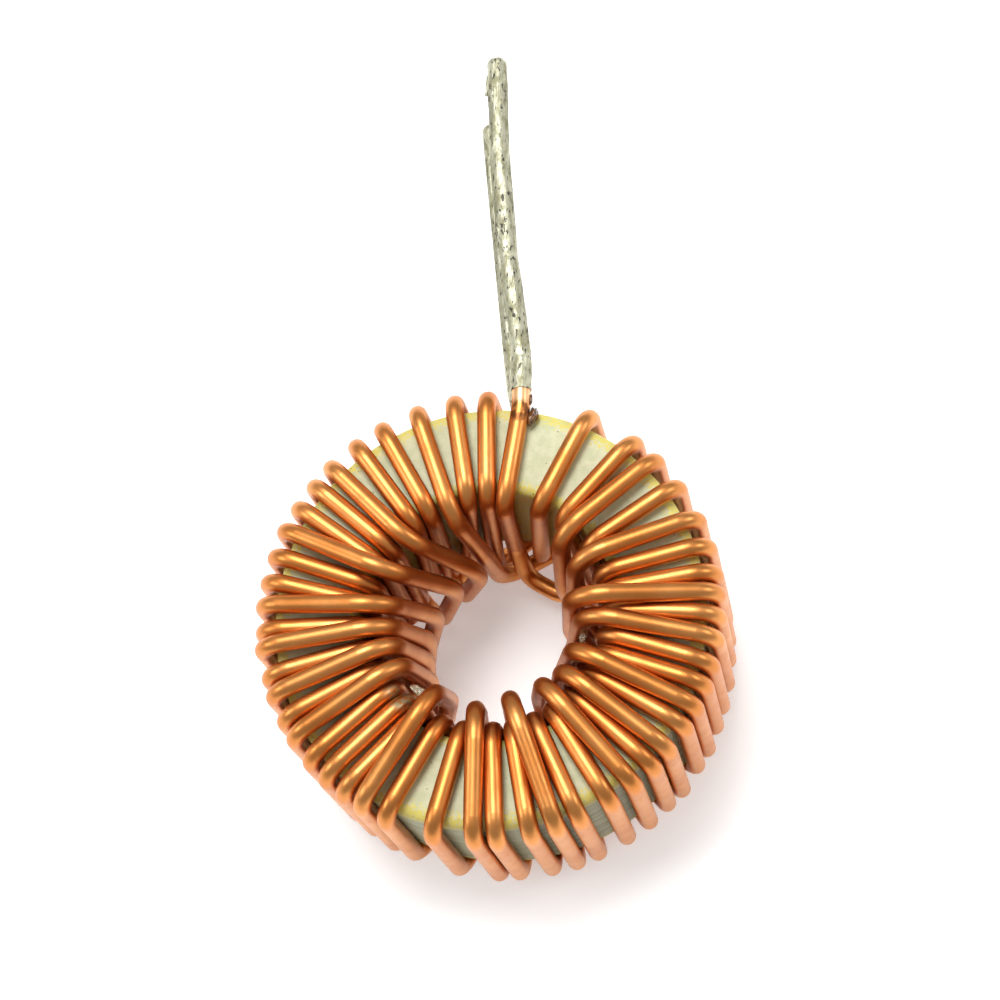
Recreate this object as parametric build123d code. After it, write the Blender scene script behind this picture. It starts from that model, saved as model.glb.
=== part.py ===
from build123d import *
import math
import os

# Toroidal inductor: one enamelled copper wire wound round a coated powder ring.
# Origin on the ring's axis, in the plane that the bottom turns rest on.
# +Z is the ring's axis and +Y runs along the two leads. Sizes are in millimetres.

# The ring
core_outer = 22.9
core_bore = 13.6
core_height = 9.53
core_rounding = 0.5

# The wire over its enamel, and the air that it keeps
wire = 1.0
core_air = 0.08
turn_air = 0.01
edge_bend = 1.2
stacked_bend = 1.7
bow_bend = 4.0

# The solder on the leads
tin_wall = 0.05
tin_cap = 0.45
tin_cap_rounding = 0.42
upper_tin_reach = 12.2
lower_tin_reach = 12.6

# Turns as they follow each other clockwise from the upper lead, seen from above:
# the angles of the outer corner, the inner corner and the foot in the bore, in degrees.
# These turns stand on their neighbours. Two more values give the radius and the
# angle of the point at which each one bows into the bore.
stacked_turns = [
    (43, 45, 34.5, 4.3, 36),
    (24, 28, 11.2, 4.3, 18),
    (4, 4, -0.3, 3.9, 3),
    (-7.5, -5, -19.5, 4.1, -12),
    (-25.5, -26, -31, 4.0, -29),
    (-38, -39, -42.5, 4.5, -44),
    (-50, -52.5, -65.2, 4.1, -57),
    (-71.5, -73, -85.2, 3.8, -80),
    (-92, -93.5, -109.5, 4.4, -104),
    (-121.5, -118.5, -138.8, 4.4, -127),
    (-146.5, -146, -150, 4.5, -147),
    (-158.5, -158.5, -161.3, 4.2, -162),
    (-171, -169.5, -172.5, 3.9, -178),
    (-182.5, -181, -191, 3.7, -199),
    (-203, -200.5, -211, 3.6, -229),
    (-223.5, -222, -231.5, 3.7, -254),
]
# This turn lies on the ring over the top, and its lower part crosses its neighbours.
crossing_turn = (-250, -249.5, -260.5, 4.75, -258)
crossing_head = 5.5
# These turns lie on the ring itself.
laid_turns = [
    (50.5, 52), (34, 33.5), (16.5, 18.5), (9.5, 9), (-1.5, -0.5), (-14, -11.5), (-19.5, -21),
    (-31, -32), (-43.5, -45), (-57, -56.5), (-65.5, -66), (-78, -76.5), (-86.5, -86),
    (-102.5, -100), (-115, -111), (-127.5, -121.5), (-133.5, -131), (-139.5, -140.5),
    (-152, -152), (-164, -163), (-176, -174), (-189, -184), (-196, -193.5), (-210, -204.5),
    (-217, -214), (-232, -230.5), (-240, -240), (-260, -259.7), (-268.7, -269.2), (-296, -295.5),
]
bore_lean = 4
skew_room = 1.055
lift_steps = 16
lift_step = 0.04
first_foot = 40
feet_beside_leads = [-284, -258.0, -246, -234.2, -223.6, -213.1, -203.1]

# The route of each lead in plan, from its tip inwards
upper_lead = [(-0.12, 31.5), (0.15, 26.0), (0.75, 19.8), (1.58, 14.3), (1.63, 11.3)]
lower_lead = [(-2.0, 32.6), (-0.15, 16.0), (0.85, 12.0)]
upper_lead_inner = 82
lead_drop = [(0.25, 6.2, 1.5), (0.7, 4.95, -0.8), (2.9, 3.75, -1.0)]
lead_bend = 6.0
drop_bend = 1.3

half = wire / 2
pitch = wire + turn_air
out_radius = core_outer / 2 + core_air + half
in_radius = core_bore / 2 - core_air - half
top_lift = core_height + core_air + half
foot_lift = -core_air - half


def plan(radius, angle):
    """A point seen from above, from its radius and its angle."""
    turned = math.radians(angle)
    return Vector(radius * math.cos(turned), radius * math.sin(turned))


def raised(point, height):
    """The same point at a height above the ring's lower face."""
    return Vector(point.X, point.Y, height)


def standing_radius(angle, neighbours):
    """The largest radius in the bore at which a turn clears its neighbours."""
    radius = in_radius
    for neighbour_radius, neighbour_angle in neighbours:
        apart = math.radians(angle - neighbour_angle)
        aside = neighbour_radius * abs(math.sin(apart))
        if aside < pitch and math.cos(apart) > 0:
            step = math.sqrt(pitch**2 - aside**2)
            radius = min(radius, neighbour_radius * math.cos(apart) - step)
    return radius


def needed_lift(point, passes):
    """How far a wire over this point has to rise to clear the passes under it."""
    lift = 0.0
    for outer, inner, outer_lift, inner_lift in passes:
        run = inner - outer
        share = min(1.0, max(0.0, (point - outer).dot(run) / run.dot(run)))
        aside = (outer + run * share - point).length
        if aside < pitch:
            under = outer_lift + (inner_lift - outer_lift) * share
            lift = max(lift, under + math.sqrt(pitch**2 - aside**2))
    return lift


def resting_pass(outer, inner, passes):
    """A straight pass with the least lift of its two ends that clears those laid before it."""
    shares = [step / lift_steps for step in range(lift_steps + 1)]
    needed = [needed_lift(outer + (inner - outer) * share, passes) for share in shares]
    best = None
    for step in range(lift_steps):
        outer_lift = needed[0] + step * lift_step
        inner_lift = 0.0
        for share, lift in zip(shares[1:], needed[1:]):
            inner_lift = max(inner_lift, (lift - outer_lift * (1 - share)) / share)
        if best is None or outer_lift + inner_lift < best[2] + best[3]:
            best = (outer, inner, outer_lift, inner_lift)
    return best


def lay_over(turns, upper_end):
    """The pass of each turn over the ring, the last turn of the list being laid first."""
    passes = []
    heads = []
    for turn in reversed(turns):
        head_radius = standing_radius(turn[1], heads)
        if turn is crossing_turn:
            head_radius = crossing_head
        heads.append((head_radius, turn[1]))
        passes.append(resting_pass(plan(out_radius, turn[0]), plan(head_radius, turn[1]), passes))
    head_radius = standing_radius(upper_lead_inner, heads)
    passes.append(resting_pass(upper_end, plan(head_radius, upper_lead_inner), passes))
    passes.reverse()
    return passes


def laid_feet():
    """The foot angle of each laid turn: leaning back a little, or beside the one laid before."""
    room = math.degrees(2 * math.asin(pitch / 2 / in_radius)) * skew_room
    feet = list(feet_beside_leads)
    heads = [turn[1] for turn in laid_turns[1:-len(feet)]]
    for head in reversed(heads):
        feet.append(max(head - bore_lean, feet[-1] + room))
    feet.append(first_foot)
    feet.reverse()
    return feet


def lay_under(turns, feet):
    """The pass of each turn under the ring, from its foot to the next turn's outer corner.

    Laid turns cross nothing but the lower lead, and stacked turns lie under all the others.
    """
    passes = []
    standing = []
    following = Vector(*lower_lead[-1])
    for number in reversed(range(len(turns))):
        radius = standing_radius(feet[number], standing)
        standing.append((radius, feet[number]))
        carriers = passes if len(turns[number]) > 2 else passes[:1]
        passes.append(resting_pass(following, plan(radius, feet[number]), carriers))
        following = plan(out_radius, turns[number][0])
    passes.reverse()
    return passes


def lead_points():
    """The upper lead's route over the ring's top, without its inner corner."""
    return [raised(Vector(*spot), top_lift) for spot in upper_lead]


def wire_corners():
    """Every corner of the wire with its bend, from the upper lead's tip to the lower one's."""
    turns = stacked_turns + [crossing_turn] + laid_turns
    feet = [turn[2] for turn in stacked_turns] + [crossing_turn[2]] + laid_feet()
    over = lay_over(turns, Vector(*upper_lead[-1]))
    under = lay_under(turns, feet)
    corners = [(point, lead_bend) for point in lead_points()]
    corners.append((raised(over[0][1], top_lift), edge_bend))
    for x, y, lift in lead_drop:
        corners.append((Vector(x, y, lift), drop_bend))
    for number, turn in enumerate(turns):
        outer, head, outer_lift, head_lift = over[number + 1]
        foot, foot_drop = under[number][1], under[number][3]
        before_drop = under[number - 1][2] if number else 0.0
        bowed = len(turn) > 2
        bend = stacked_bend if bowed else edge_bend
        corners.append((raised(outer, foot_lift - before_drop), edge_bend))
        corners.append((raised(outer, top_lift + outer_lift), edge_bend))
        corners.append((raised(head, top_lift + head_lift), bend))
        if bowed:
            corners.append((raised(plan(turn[3], turn[4]), core_height / 2), bow_bend))
        corners.append((raised(foot, foot_lift - foot_drop), bend))
    for spot in reversed(lower_lead):
        corners.append((raised(Vector(*spot), foot_lift), lead_bend))
    return corners


def wire_path(corners):
    """A centre line of straight runs joined by tangent arcs."""
    points = [corner[0] for corner in corners]
    bends = [corner[1] for corner in corners[1:-1]]
    return FilletPolyline(*points, radius=bends)


def tube(path, radius):
    """A round bar along a path."""
    return sweep(Plane(path @ 0, z_dir=path % 0) * Circle(radius), path=path)


def make_core():
    """The pressed ring with rounded edges, its lower face at zero height."""
    ring = Cylinder(core_outer / 2, core_height, align=(Align.CENTER, Align.CENTER, Align.MIN))
    ring -= Cylinder(core_bore / 2, core_height, align=(Align.CENTER, Align.CENTER, Align.MIN))
    return fillet(ring.edges().filter_by(GeomType.CIRCLE), core_rounding)


def make_tinning(spots, height, reach):
    """The solder round a lead from its tip in to the reach, with a rounded closed end."""
    points = [Vector(x, y, height) for x, y in spots]
    tip_way = (points[0] - points[1]).normalized()
    outer_points = [points[0] + tip_way * tin_cap] + [point for point in points[1:] if point.Y > reach]
    next_point = points[len(outer_points)]
    share = (outer_points[-1].Y - reach) / (outer_points[-1].Y - next_point.Y)
    outer_points.append(outer_points[-1] + (next_point - outer_points[-1]) * share)
    bends = [lead_bend] * (len(outer_points) - 2)
    solder = tube(FilletPolyline(*outer_points, radius=bends), half + tin_wall)
    tip_edge = solder.edges().filter_by(GeomType.CIRCLE).sort_by(Axis.Y)[-1]
    solder = fillet(tip_edge, tin_cap_rounding)
    lead = tube(FilletPolyline(*points, radius=[lead_bend] * (len(points) - 2)), half)
    return solder - lead


corners = wire_corners()
path = wire_path(corners)
rest = Pos(0, 0, half - path.bounding_box().min.Z)
lower_spots = lower_lead + [tuple(corners[-len(lower_lead) - 1][0])[:2]]
upper_spots = upper_lead + [tuple(corners[len(upper_lead)][0])[:2]]

pieces = {
    "core": make_core(),
    "winding": tube(path, half),
    "upper_lead_tinning": make_tinning(upper_spots, top_lift, upper_tin_reach),
    "lower_lead_tinning": make_tinning(lower_spots, foot_lift, lower_tin_reach),
}

os.makedirs("parts", exist_ok=True)
for name, piece in pieces.items():
    placed = rest * piece
    box = placed.bounding_box()
    print(name, round(placed.volume, 2), placed.is_valid, box.min, box.max)
    export_step(placed, "parts/" + name + ".step")
print("length of wire", round(path.length, 1), "ring's lower face at", round(rest.position.Z, 3))
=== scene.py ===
import bpy
import bmesh
import math
from mathutils import Matrix, Vector, noise


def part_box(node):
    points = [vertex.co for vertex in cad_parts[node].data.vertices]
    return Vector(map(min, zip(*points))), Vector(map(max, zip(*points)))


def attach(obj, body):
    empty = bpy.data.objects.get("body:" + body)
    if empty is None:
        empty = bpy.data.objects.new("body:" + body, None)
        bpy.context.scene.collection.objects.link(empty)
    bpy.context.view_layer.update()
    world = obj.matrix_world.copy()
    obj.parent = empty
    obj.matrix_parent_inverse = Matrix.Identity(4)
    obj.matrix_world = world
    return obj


# toroidal inductor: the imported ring, wire and tinned leads get their finishes here,
# and the beads of burnt flux, solder and varnish are added
# noise scales are per mm, places are in mm from the ring's axis and its top face

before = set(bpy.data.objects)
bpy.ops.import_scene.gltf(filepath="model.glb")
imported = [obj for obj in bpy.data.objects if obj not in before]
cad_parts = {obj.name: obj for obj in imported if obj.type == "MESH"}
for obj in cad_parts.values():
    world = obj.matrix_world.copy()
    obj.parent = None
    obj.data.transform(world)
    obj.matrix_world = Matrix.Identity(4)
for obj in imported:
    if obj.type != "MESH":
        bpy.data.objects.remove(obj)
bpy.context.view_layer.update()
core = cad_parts["core"]
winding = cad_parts["winding"]
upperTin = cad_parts["upper_lead_tinning"]
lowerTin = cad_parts["lower_lead_tinning"]
mm = 0.001
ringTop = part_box("core")[1].z / mm
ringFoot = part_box("core")[0].z / mm
print("frame loaded")


# small helpers for shader nodes

def addNode(tree, kind, links=None, values=None, **settings):
    made = tree.nodes.new(kind)
    for key, value in settings.items():
        setattr(made, key, value)
    for key, value in (values or {}).items():
        made.inputs[key].default_value = value
    for key, socket in (links or {}).items():
        tree.links.new(socket, made.inputs[key])
    return made


def startMaterial(name):
    material = bpy.data.materials.new(name)
    material.use_nodes = True
    tree = material.node_tree
    tree.nodes.clear()
    shader = addNode(tree, "ShaderNodeBsdfPrincipled")
    addNode(tree, "ShaderNodeOutputMaterial", {"Surface": shader.outputs[0]})
    return material, tree, shader


def stretched(tree, place, factors):
    return addNode(tree, "ShaderNodeVectorMath", {0: place}, {1: factors}, operation="MULTIPLY").outputs[0]


def inMillimetres(tree):
    place = addNode(tree, "ShaderNodeTexCoord").outputs["Object"]
    return stretched(tree, place, (1 / mm, 1 / mm, 1 / mm))


def noiseOf(tree, place, scale, detail=3.0, rough=0.55):
    return addNode(tree, "ShaderNodeTexNoise", {"Vector": place},
                   {"Scale": scale, "Detail": detail, "Roughness": rough}).outputs[0]


def between(tree, value, low, high, toLow=0.0, toHigh=1.0):
    return addNode(tree, "ShaderNodeMapRange", {"Value": value},
                   {"From Min": low, "From Max": high, "To Min": toLow, "To Max": toHigh},
                   interpolation_type="SMOOTHSTEP").outputs[0]


def maths(tree, operation, first, second):
    made = tree.nodes.new("ShaderNodeMath")
    made.operation = operation
    for slot, value in enumerate((first, second)):
        if isinstance(value, (int, float)):
            made.inputs[slot].default_value = value
        else:
            tree.links.new(value, made.inputs[slot])
    return made.outputs[0]


def mixColour(tree, share, first, second):
    made = addNode(tree, "ShaderNodeMix", data_type="RGBA")
    tree.links.new(share, made.inputs[0])
    for slot, value in ((6, first), (7, second)):
        if isinstance(value, tuple):
            made.inputs[slot].default_value = (*value, 1.0)
        else:
            tree.links.new(value, made.inputs[slot])
    return made.outputs[2]


def bump(tree, shader, height, look):
    strength, depth = look["bump"]
    made = addNode(tree, "ShaderNodeBump", {"Height": height}, {"Strength": strength, "Distance": depth * mm})
    tree.links.new(made.outputs[0], shader.inputs["Normal"])


def within(tree, place, spot):
    # 1 inside the first distance from a spot and 0 outside the second
    (x, y, z), (inside, outside) = spot
    centre = (x, y, ringTop + z)
    reach = addNode(tree, "ShaderNodeVectorMath", {0: place}, {1: centre}, operation="DISTANCE").outputs[1]
    return between(tree, reach, outside, inside)


def wear(piece, material):
    piece.data.materials.clear()
    piece.data.materials.append(material)


# enamelled copper wire

enamelLook = {
    "wire": (0.64, 0.23, 0.052),
    "paleWire": (0.72, 0.30, 0.085),
    "deepWire": (0.50, 0.155, 0.032),
    "bareCopper": (0.95, 0.55, 0.28),
    "scorched": (0.20, 0.07, 0.02),
    "roughness": (0.36, 0.44),
    "coat": 0.12,
    "coatRoughness": 0.3,
    "bump": (0.1, 0.03),                 # strength, depth in mm
    "cloud": (0.22, 2.0),                # noise scale and detail, from broad to fine
    "mottle": (1.1, 4.0),
    "grain": (2.4, 4.0),
    "paleFrom": (0.35, 0.65),            # noise values between which a finish comes in
    "deepFrom": (0.55, 0.75),
    "deepShare": 0.3,                    # the most that the deep colour shows
    "roughFrom": (0.3, 0.7),
    "smearFrom": (0.42, 0.55),
    "scorchFrom": (0.40, 0.56),
    "bareBand": ((1.62, 11.85, 0.6), (0.45, 0.85)),     # middle, where it starts and stops fading
    "scorch": ((1.66, 10.85, 0.9), (0.45, 0.8)),
    "smear": ((-4.1, -4.4, 0.9), (0.5, 1.3)),
    "smearColour": (0.50, 0.45, 0.27),
}


def makeEnamelledCopper():
    look = enamelLook
    material, tree, shader = startMaterial("enamelledCopper")
    place = inMillimetres(tree)
    cloud = noiseOf(tree, place, *look["cloud"])
    mottle = noiseOf(tree, place, *look["mottle"])
    grain = noiseOf(tree, place, *look["grain"])
    pale = between(tree, cloud, *look["paleFrom"])
    colour = mixColour(tree, pale, look["wire"], look["paleWire"])
    deep = between(tree, mottle, *look["deepFrom"], 0.0, look["deepShare"])
    colour = mixColour(tree, deep, colour, look["deepWire"])
    smear = between(tree, grain, *look["smearFrom"])
    smear = maths(tree, "MULTIPLY", within(tree, place, look["smear"]), smear)
    colour = mixColour(tree, smear, colour, look["smearColour"])
    colour = mixColour(tree, within(tree, place, look["bareBand"]), colour, look["bareCopper"])
    scorch = between(tree, grain, *look["scorchFrom"])
    scorch = maths(tree, "MULTIPLY", within(tree, place, look["scorch"]), scorch)
    colour = mixColour(tree, scorch, colour, look["scorched"])
    tree.links.new(colour, shader.inputs["Base Color"])
    rough = between(tree, mottle, *look["roughFrom"], *look["roughness"])
    tree.links.new(rough, shader.inputs["Roughness"])
    shader.inputs["Metallic"].default_value = 1.0
    shader.inputs["Coat Weight"].default_value = look["coat"]
    shader.inputs["Coat Roughness"].default_value = look["coatRoughness"]
    bump(tree, shader, mottle, look)
    return material


# coated ring

coatingLook = {
    "face": (0.64, 0.65, 0.42),
    "faceShade": (0.54, 0.57, 0.33),
    "yellow": (0.70, 0.62, 0.14),
    "side": (0.52, 0.55, 0.36),
    "sideShade": (0.36, 0.39, 0.22),
    "speck": (0.10, 0.09, 0.04),
    "roughness": 0.55,
    "bump": (0.35, 0.06),
    "grain": (1.6, 5.0, 0.65),        # noise scale, detail and roughness
    "fine": (6.0, 3.0),
    "strata": (1.0, 4.0),
    "strataDrawn": (0.25, 0.25, 5.0),     # thin in height, so they lie level round the wall
    "shadeFrom": (0.35, 0.65),
    "strataFrom": (0.4, 0.62),
    "yellowFrom": (0.66, 0.8),
    "pits": 1.5,
    "pitSize": (0.075, 0.04),
    "wall": (11.2, 11.4),             # radii between which the face turns into the side wall
    "outerEdge": (10.2, 11.25),       # radii between which the yellow comes in
    "boreEdge": (7.9, 6.95),
    "edgeHeight": (1.1, 0.25),        # and the depths below a face
    "speckle": 0.34,                  # how much the edge adds to the speckles
}


def makeRingCoating():
    look = coatingLook
    material, tree, shader = startMaterial("ringCoating")
    place = inMillimetres(tree)
    parts = addNode(tree, "ShaderNodeSeparateXYZ", {0: place})
    flat = stretched(tree, place, (1, 1, 0))
    radius = addNode(tree, "ShaderNodeVectorMath", {0: flat}, operation="LENGTH").outputs[1]
    grain = noiseOf(tree, place, *look["grain"])
    fine = noiseOf(tree, place, *look["fine"])
    strata = noiseOf(tree, stretched(tree, place, look["strataDrawn"]), *look["strata"])
    face = mixColour(tree, between(tree, grain, *look["shadeFrom"]), look["face"], look["faceShade"])
    side = mixColour(tree, between(tree, strata, *look["strataFrom"]), look["side"], look["sideShade"])
    onSide = between(tree, radius, *look["wall"])
    colour = mixColour(tree, onSide, face, side)
    outerEdge = between(tree, radius, *look["outerEdge"])
    boreEdge = between(tree, radius, *look["boreEdge"])
    edge = maths(tree, "MAXIMUM", outerEdge, boreEdge)
    # full yellow on the rounded corners, speckled next to them, little on the side wall
    middle = (ringTop + ringFoot) / 2
    halfHeight = (ringTop - ringFoot) / 2
    fromMiddle = maths(tree, "ABSOLUTE", maths(tree, "SUBTRACT", parts.outputs[2], middle), 0.0)
    deepest, shallowest = look["edgeHeight"]
    nearFace = between(tree, fromMiddle, halfHeight - deepest, halfHeight - shallowest)
    speckled = maths(tree, "ADD", fine, maths(tree, "MULTIPLY", edge, look["speckle"]))
    speckled = between(tree, speckled, *look["yellowFrom"])
    yellow = maths(tree, "MULTIPLY", speckled, maths(tree, "MAXIMUM", nearFace, boreEdge))
    colour = mixColour(tree, yellow, colour, look["yellow"])
    pits = addNode(tree, "ShaderNodeTexVoronoi", {"Vector": place}, {"Scale": look["pits"]})
    colour = mixColour(tree, between(tree, pits.outputs["Distance"], *look["pitSize"]), colour, look["speck"])
    tree.links.new(colour, shader.inputs["Base Color"])
    shader.inputs["Roughness"].default_value = look["roughness"]
    bump(tree, shader, maths(tree, "ADD", grain, maths(tree, "MULTIPLY", strata, onSide)), look)
    return material


# solder on the leads

solderLook = {
    "bright": (0.56, 0.55, 0.41),
    "dull": (0.31, 0.30, 0.18),
    "speck": (0.07, 0.065, 0.05),
    "roughness": (0.34, 0.55),
    "metallic": 0.75,
    "bump": (0.4, 0.08),
    "drawn": (1.0, 0.4, 1.0),         # patches run along the lead
    "patches": (2.6, 6.0, 0.7),
    "specks": (5.5, 2.0),
    "dullFrom": (0.4, 0.64),
    "roughFrom": (0.4, 0.6),
    "speckFrom": (0.58, 0.66),
    "ripple": 0.1,                    # mm from its lowest to its highest
    "rippleSize": 0.7,                # mm
    "finerLevels": 2,
}


def makeSolder():
    look = solderLook
    material, tree, shader = startMaterial("leadSolder")
    place = inMillimetres(tree)
    along = stretched(tree, place, look["drawn"])
    patches = noiseOf(tree, along, *look["patches"])
    specks = noiseOf(tree, along, *look["specks"])
    colour = mixColour(tree, between(tree, patches, *look["dullFrom"]), look["bright"], look["dull"])
    colour = mixColour(tree, between(tree, specks, *look["speckFrom"]), colour, look["speck"])
    tree.links.new(colour, shader.inputs["Base Color"])
    rough = between(tree, patches, *look["roughFrom"], *look["roughness"])
    tree.links.new(rough, shader.inputs["Roughness"])
    shader.inputs["Metallic"].default_value = look["metallic"]
    bump(tree, shader, patches, look)
    return material


def rippleTin(piece):
    # the hand-dipped solder isn't a true cylinder
    cells = bpy.data.textures.new(piece.name + "Ripple", "CLOUDS")
    cells.noise_scale = solderLook["rippleSize"] * mm
    finer = piece.modifiers.new("finer", "SUBSURF")
    finer.subdivision_type = "SIMPLE"
    finer.levels = finer.render_levels = solderLook["finerLevels"]
    ripple = piece.modifiers.new("ripple", "DISPLACE")
    ripple.texture = cells
    ripple.texture_coords = "LOCAL"
    ripple.mid_level = 0.5
    ripple.strength = solderLook["ripple"] * mm


# beads of flux, solder and varnish

fluxLook = {
    "amber": (0.22, 0.085, 0.02),
    "burnt": (0.07, 0.025, 0.008),
    "clouds": (3.0, 3.0),
    "burntFrom": (0.4, 0.6),
    "roughness": 0.18,
    "coat": 0.6,
    "bump": (0.3, 0.05),
}


def makeFlux():
    look = fluxLook
    material, tree, shader = startMaterial("burntFlux")
    clouds = noiseOf(tree, inMillimetres(tree), *look["clouds"])
    colour = mixColour(tree, between(tree, clouds, *look["burntFrom"]), look["amber"], look["burnt"])
    tree.links.new(colour, shader.inputs["Base Color"])
    shader.inputs["Roughness"].default_value = look["roughness"]
    shader.inputs["Coat Weight"].default_value = look["coat"]
    bump(tree, shader, clouds, look)
    return material


varnishLook = {
    "clear": (0.78, 0.74, 0.58),
    "brown": (0.52, 0.40, 0.22),
    "drawn": (1.0, 3.0, 3.0),
    "strands": (2.0, 4.0),
    "brownFrom": (0.4, 0.62),
    "roughness": 0.12,
    "clearness": 0.7,
    "ior": 1.5,
    "bump": (0.3, 0.05),
}


def makeVarnish():
    look = varnishLook
    material, tree, shader = startMaterial("driedVarnish")
    along = stretched(tree, inMillimetres(tree), look["drawn"])
    strands = noiseOf(tree, along, *look["strands"])
    colour = mixColour(tree, between(tree, strands, *look["brownFrom"]), look["clear"], look["brown"])
    tree.links.new(colour, shader.inputs["Base Color"])
    shader.inputs["Roughness"].default_value = look["roughness"]
    shader.inputs["Transmission Weight"].default_value = look["clearness"]
    shader.inputs["IOR"].default_value = look["ior"]
    bump(tree, shader, strands, look)
    return material


beadLook = {
    "unevenness": 0.35,       # share of the bead's size
    "lumps": 1.6,
    "levels": 4,
    "beads": {
        # name: (middle, half sizes in mm, turn about Z in degrees, finish)
        "burntFlux": ((2.24, 10.74, 0.42), (0.27, 0.52, 0.3), -16, "flux"),
        "fluxSpike": ((2.14, 11.62, 0.62), (0.1, 0.3, 0.14), -8, "flux"),
        "solderSliver": ((-0.62, 30.35, 0.5), (0.13, 0.55, 0.2), 3, "solder"),
        "solderDrop": ((-0.68, 29.85, 0.5), (0.12, 0.14, 0.14), 0, "solder"),
        "varnishThread": ((-3.1, -4.45, 0.15), (0.85, 0.22, 0.2), -32, "varnish"),
        "varnishDropLeft": ((-2.75, -4.1, -0.7), (0.24, 0.34, 0.22), 30, "varnish"),
        "varnishDropRight": ((5.0, -1.2, -0.55), (0.2, 0.3, 0.2), -20, "varnish"),
    },
}


def makeBead(name, finishes):
    (x, y, z), halves, turn, finish = beadLook["beads"][name]
    mesh = bpy.data.meshes.new(name)
    shape = bmesh.new()
    bmesh.ops.create_icosphere(shape, subdivisions=beadLook["levels"], radius=1.0)
    for vertex in shape.verts:
        lump = noise.noise(vertex.co * beadLook["lumps"] + Vector((x, y, z)))
        vertex.co *= 1 + beadLook["unevenness"] * lump
        vertex.co = Vector(part * size for part, size in zip(vertex.co, halves)) * mm
    shape.to_mesh(mesh)
    shape.free()
    for face in mesh.polygons:
        face.use_smooth = True
    bead = bpy.data.objects.new(name, mesh)
    bead.location = Vector((x, y, z + ringTop)) * mm
    bead.rotation_euler.z = math.radians(turn)
    bpy.context.collection.objects.link(bead)
    mesh.materials.append(finishes[finish])
    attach(bead, "root")


# floor, lamps and camera

floorLook = {"size": 3.0, "colour": (0.93, 0.93, 0.925), "roughness": 0.9, "glow": 0.34}     # size in m


def makeFloor():
    material, tree, shader = startMaterial("paperFloor")
    shader.inputs["Base Color"].default_value = (*floorLook["colour"], 1.0)
    shader.inputs["Roughness"].default_value = floorLook["roughness"]
    shader.inputs["Specular IOR Level"].default_value = 0.0
    shader.inputs["Emission Color"].default_value = (1, 1, 1, 1)
    path = addNode(tree, "ShaderNodeLightPath")
    seen = maths(tree, "MAXIMUM", path.outputs["Is Camera Ray"], path.outputs["Is Glossy Ray"])
    seen = maths(tree, "MAXIMUM", seen, path.outputs["Is Transmission Ray"])
    tree.links.new(maths(tree, "MULTIPLY", seen, floorLook["glow"]), shader.inputs["Emission Strength"])
    mesh = bpy.data.meshes.new("paperFloor")
    half = floorLook["size"] / 2
    corners = [(-half, -half, 0), (half, -half, 0), (half, half, 0), (-half, half, 0)]
    mesh.from_pydata(corners, [], [(0, 1, 2, 3)])
    floor = bpy.data.objects.new("paperFloor", mesh)
    bpy.context.collection.objects.link(floor)
    wear(floor, material)


lampLook = {
    # name: place in m, size in m, power in W
    "overhead": ((-0.05, 0.14, 0.45), 0.22, 1.8),
    "left": ((-0.45, -0.05, 0.30), 0.20, 0.7),
    "right": ((0.42, 0.12, 0.28), 0.16, 0.5),
}
worldLook = {"horizon": (0.36, 0.36, 0.365), "zenith": (0.42, 0.42, 0.43), "rise": (0.05, 0.8)}


def makeLight():
    target = Vector((0, 0, ringFoot * mm))
    for name, (place, size, power) in lampLook.items():
        data = bpy.data.lights.new(name + "Lamp", "AREA")
        data.size = size
        data.energy = power
        lamp = bpy.data.objects.new(name + "Lamp", data)
        lamp.location = place
        lamp.rotation_euler = (target - Vector(place)).to_track_quat("-Z", "Y").to_euler()
        bpy.context.collection.objects.link(lamp)
    world = bpy.data.worlds.new("studio")
    bpy.context.scene.world = world
    world.use_nodes = True
    tree = world.node_tree
    background = tree.nodes["Background"]
    way = addNode(tree, "ShaderNodeTexCoord").outputs["Generated"]
    height = addNode(tree, "ShaderNodeSeparateXYZ", {0: way}).outputs[2]
    rise = between(tree, height, *worldLook["rise"])
    tree.links.new(mixColour(tree, rise, worldLook["horizon"], worldLook["zenith"]), background.inputs[0])


cameraLook = {
    "place": (20.616, -38.163, 136.562),
    "right": (0.9901, 0.0219, -0.1386),
    "up": (0.0219, 0.9517, 0.3062),
    "back": (0.1386, -0.3062, 0.9418),
    "lens": 98.23,
    "sensor": 36.0,
    "nearest": 0.005,     # m
}


def makeCamera():
    data = bpy.data.cameras.new("photoCamera")
    data.lens = cameraLook["lens"]
    data.sensor_width = cameraLook["sensor"]
    data.clip_start = cameraLook["nearest"]
    camera = bpy.data.objects.new("photoCamera", data)
    x, y, z = cameraLook["place"]
    axes = [Vector(cameraLook[name]).normalized() for name in ("right", "up", "back")]
    turn = Matrix(axes).transposed().to_4x4()
    camera.matrix_world = Matrix.Translation(Vector((x, y, z + ringTop)) * mm) @ turn
    bpy.context.collection.objects.link(camera)
    bpy.context.scene.camera = camera


wear(winding, makeEnamelledCopper())
wear(core, makeRingCoating())
solder = makeSolder()
for tin in (upperTin, lowerTin):
    wear(tin, solder)
    rippleTin(tin)
finishes = {"flux": makeFlux(), "varnish": makeVarnish(), "solder": solder}
for beadName in beadLook["beads"]:
    makeBead(beadName, finishes)
print("finishes and beads done")

makeFloor()
makeLight()
makeCamera()
bpy.context.scene.view_settings.view_transform = "Standard"
print("studio done")
